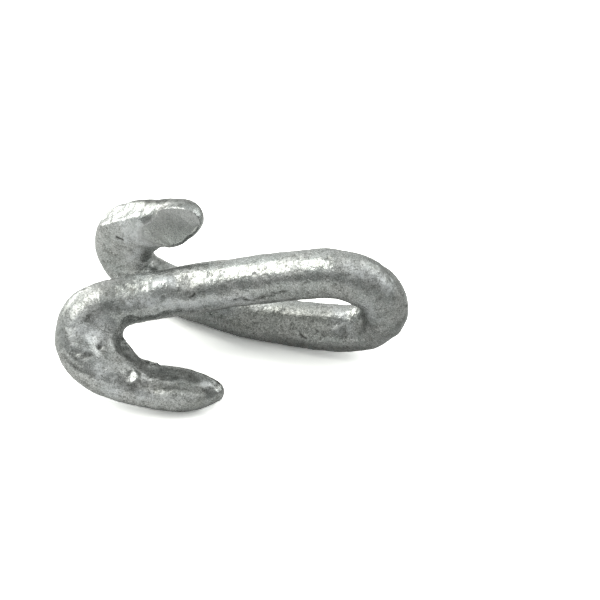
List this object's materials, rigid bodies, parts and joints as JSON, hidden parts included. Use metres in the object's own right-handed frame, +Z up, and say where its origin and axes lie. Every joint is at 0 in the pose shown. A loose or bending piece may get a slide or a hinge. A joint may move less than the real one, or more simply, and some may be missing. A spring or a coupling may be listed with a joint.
{
  "type": "open lap link",
  "caption": "Open lap link bent from one galvanised round bar, with a U-bend, two spread hooks and a flat planed on each fingertip for closing on a chain or eye.",
  "frame": {"origin": "middle of the underside of the bounding box, on the table the link rests on", "axes": "+X from the two hooks towards the U-bend, along the length; +Z up as the link rests; -Y is the side of the finger that lies on the table"},
  "size_m": [0.09, 0.058, 0.0398],
  "materials": {
    "zinc_coating": "hot-dip galvanised, dull and mottled grey with brighter tops, lumps and small pits"
  },
  "bodies": {
    "root": {"link_bar": "zinc_coating"}
  },
  "joints": []
}
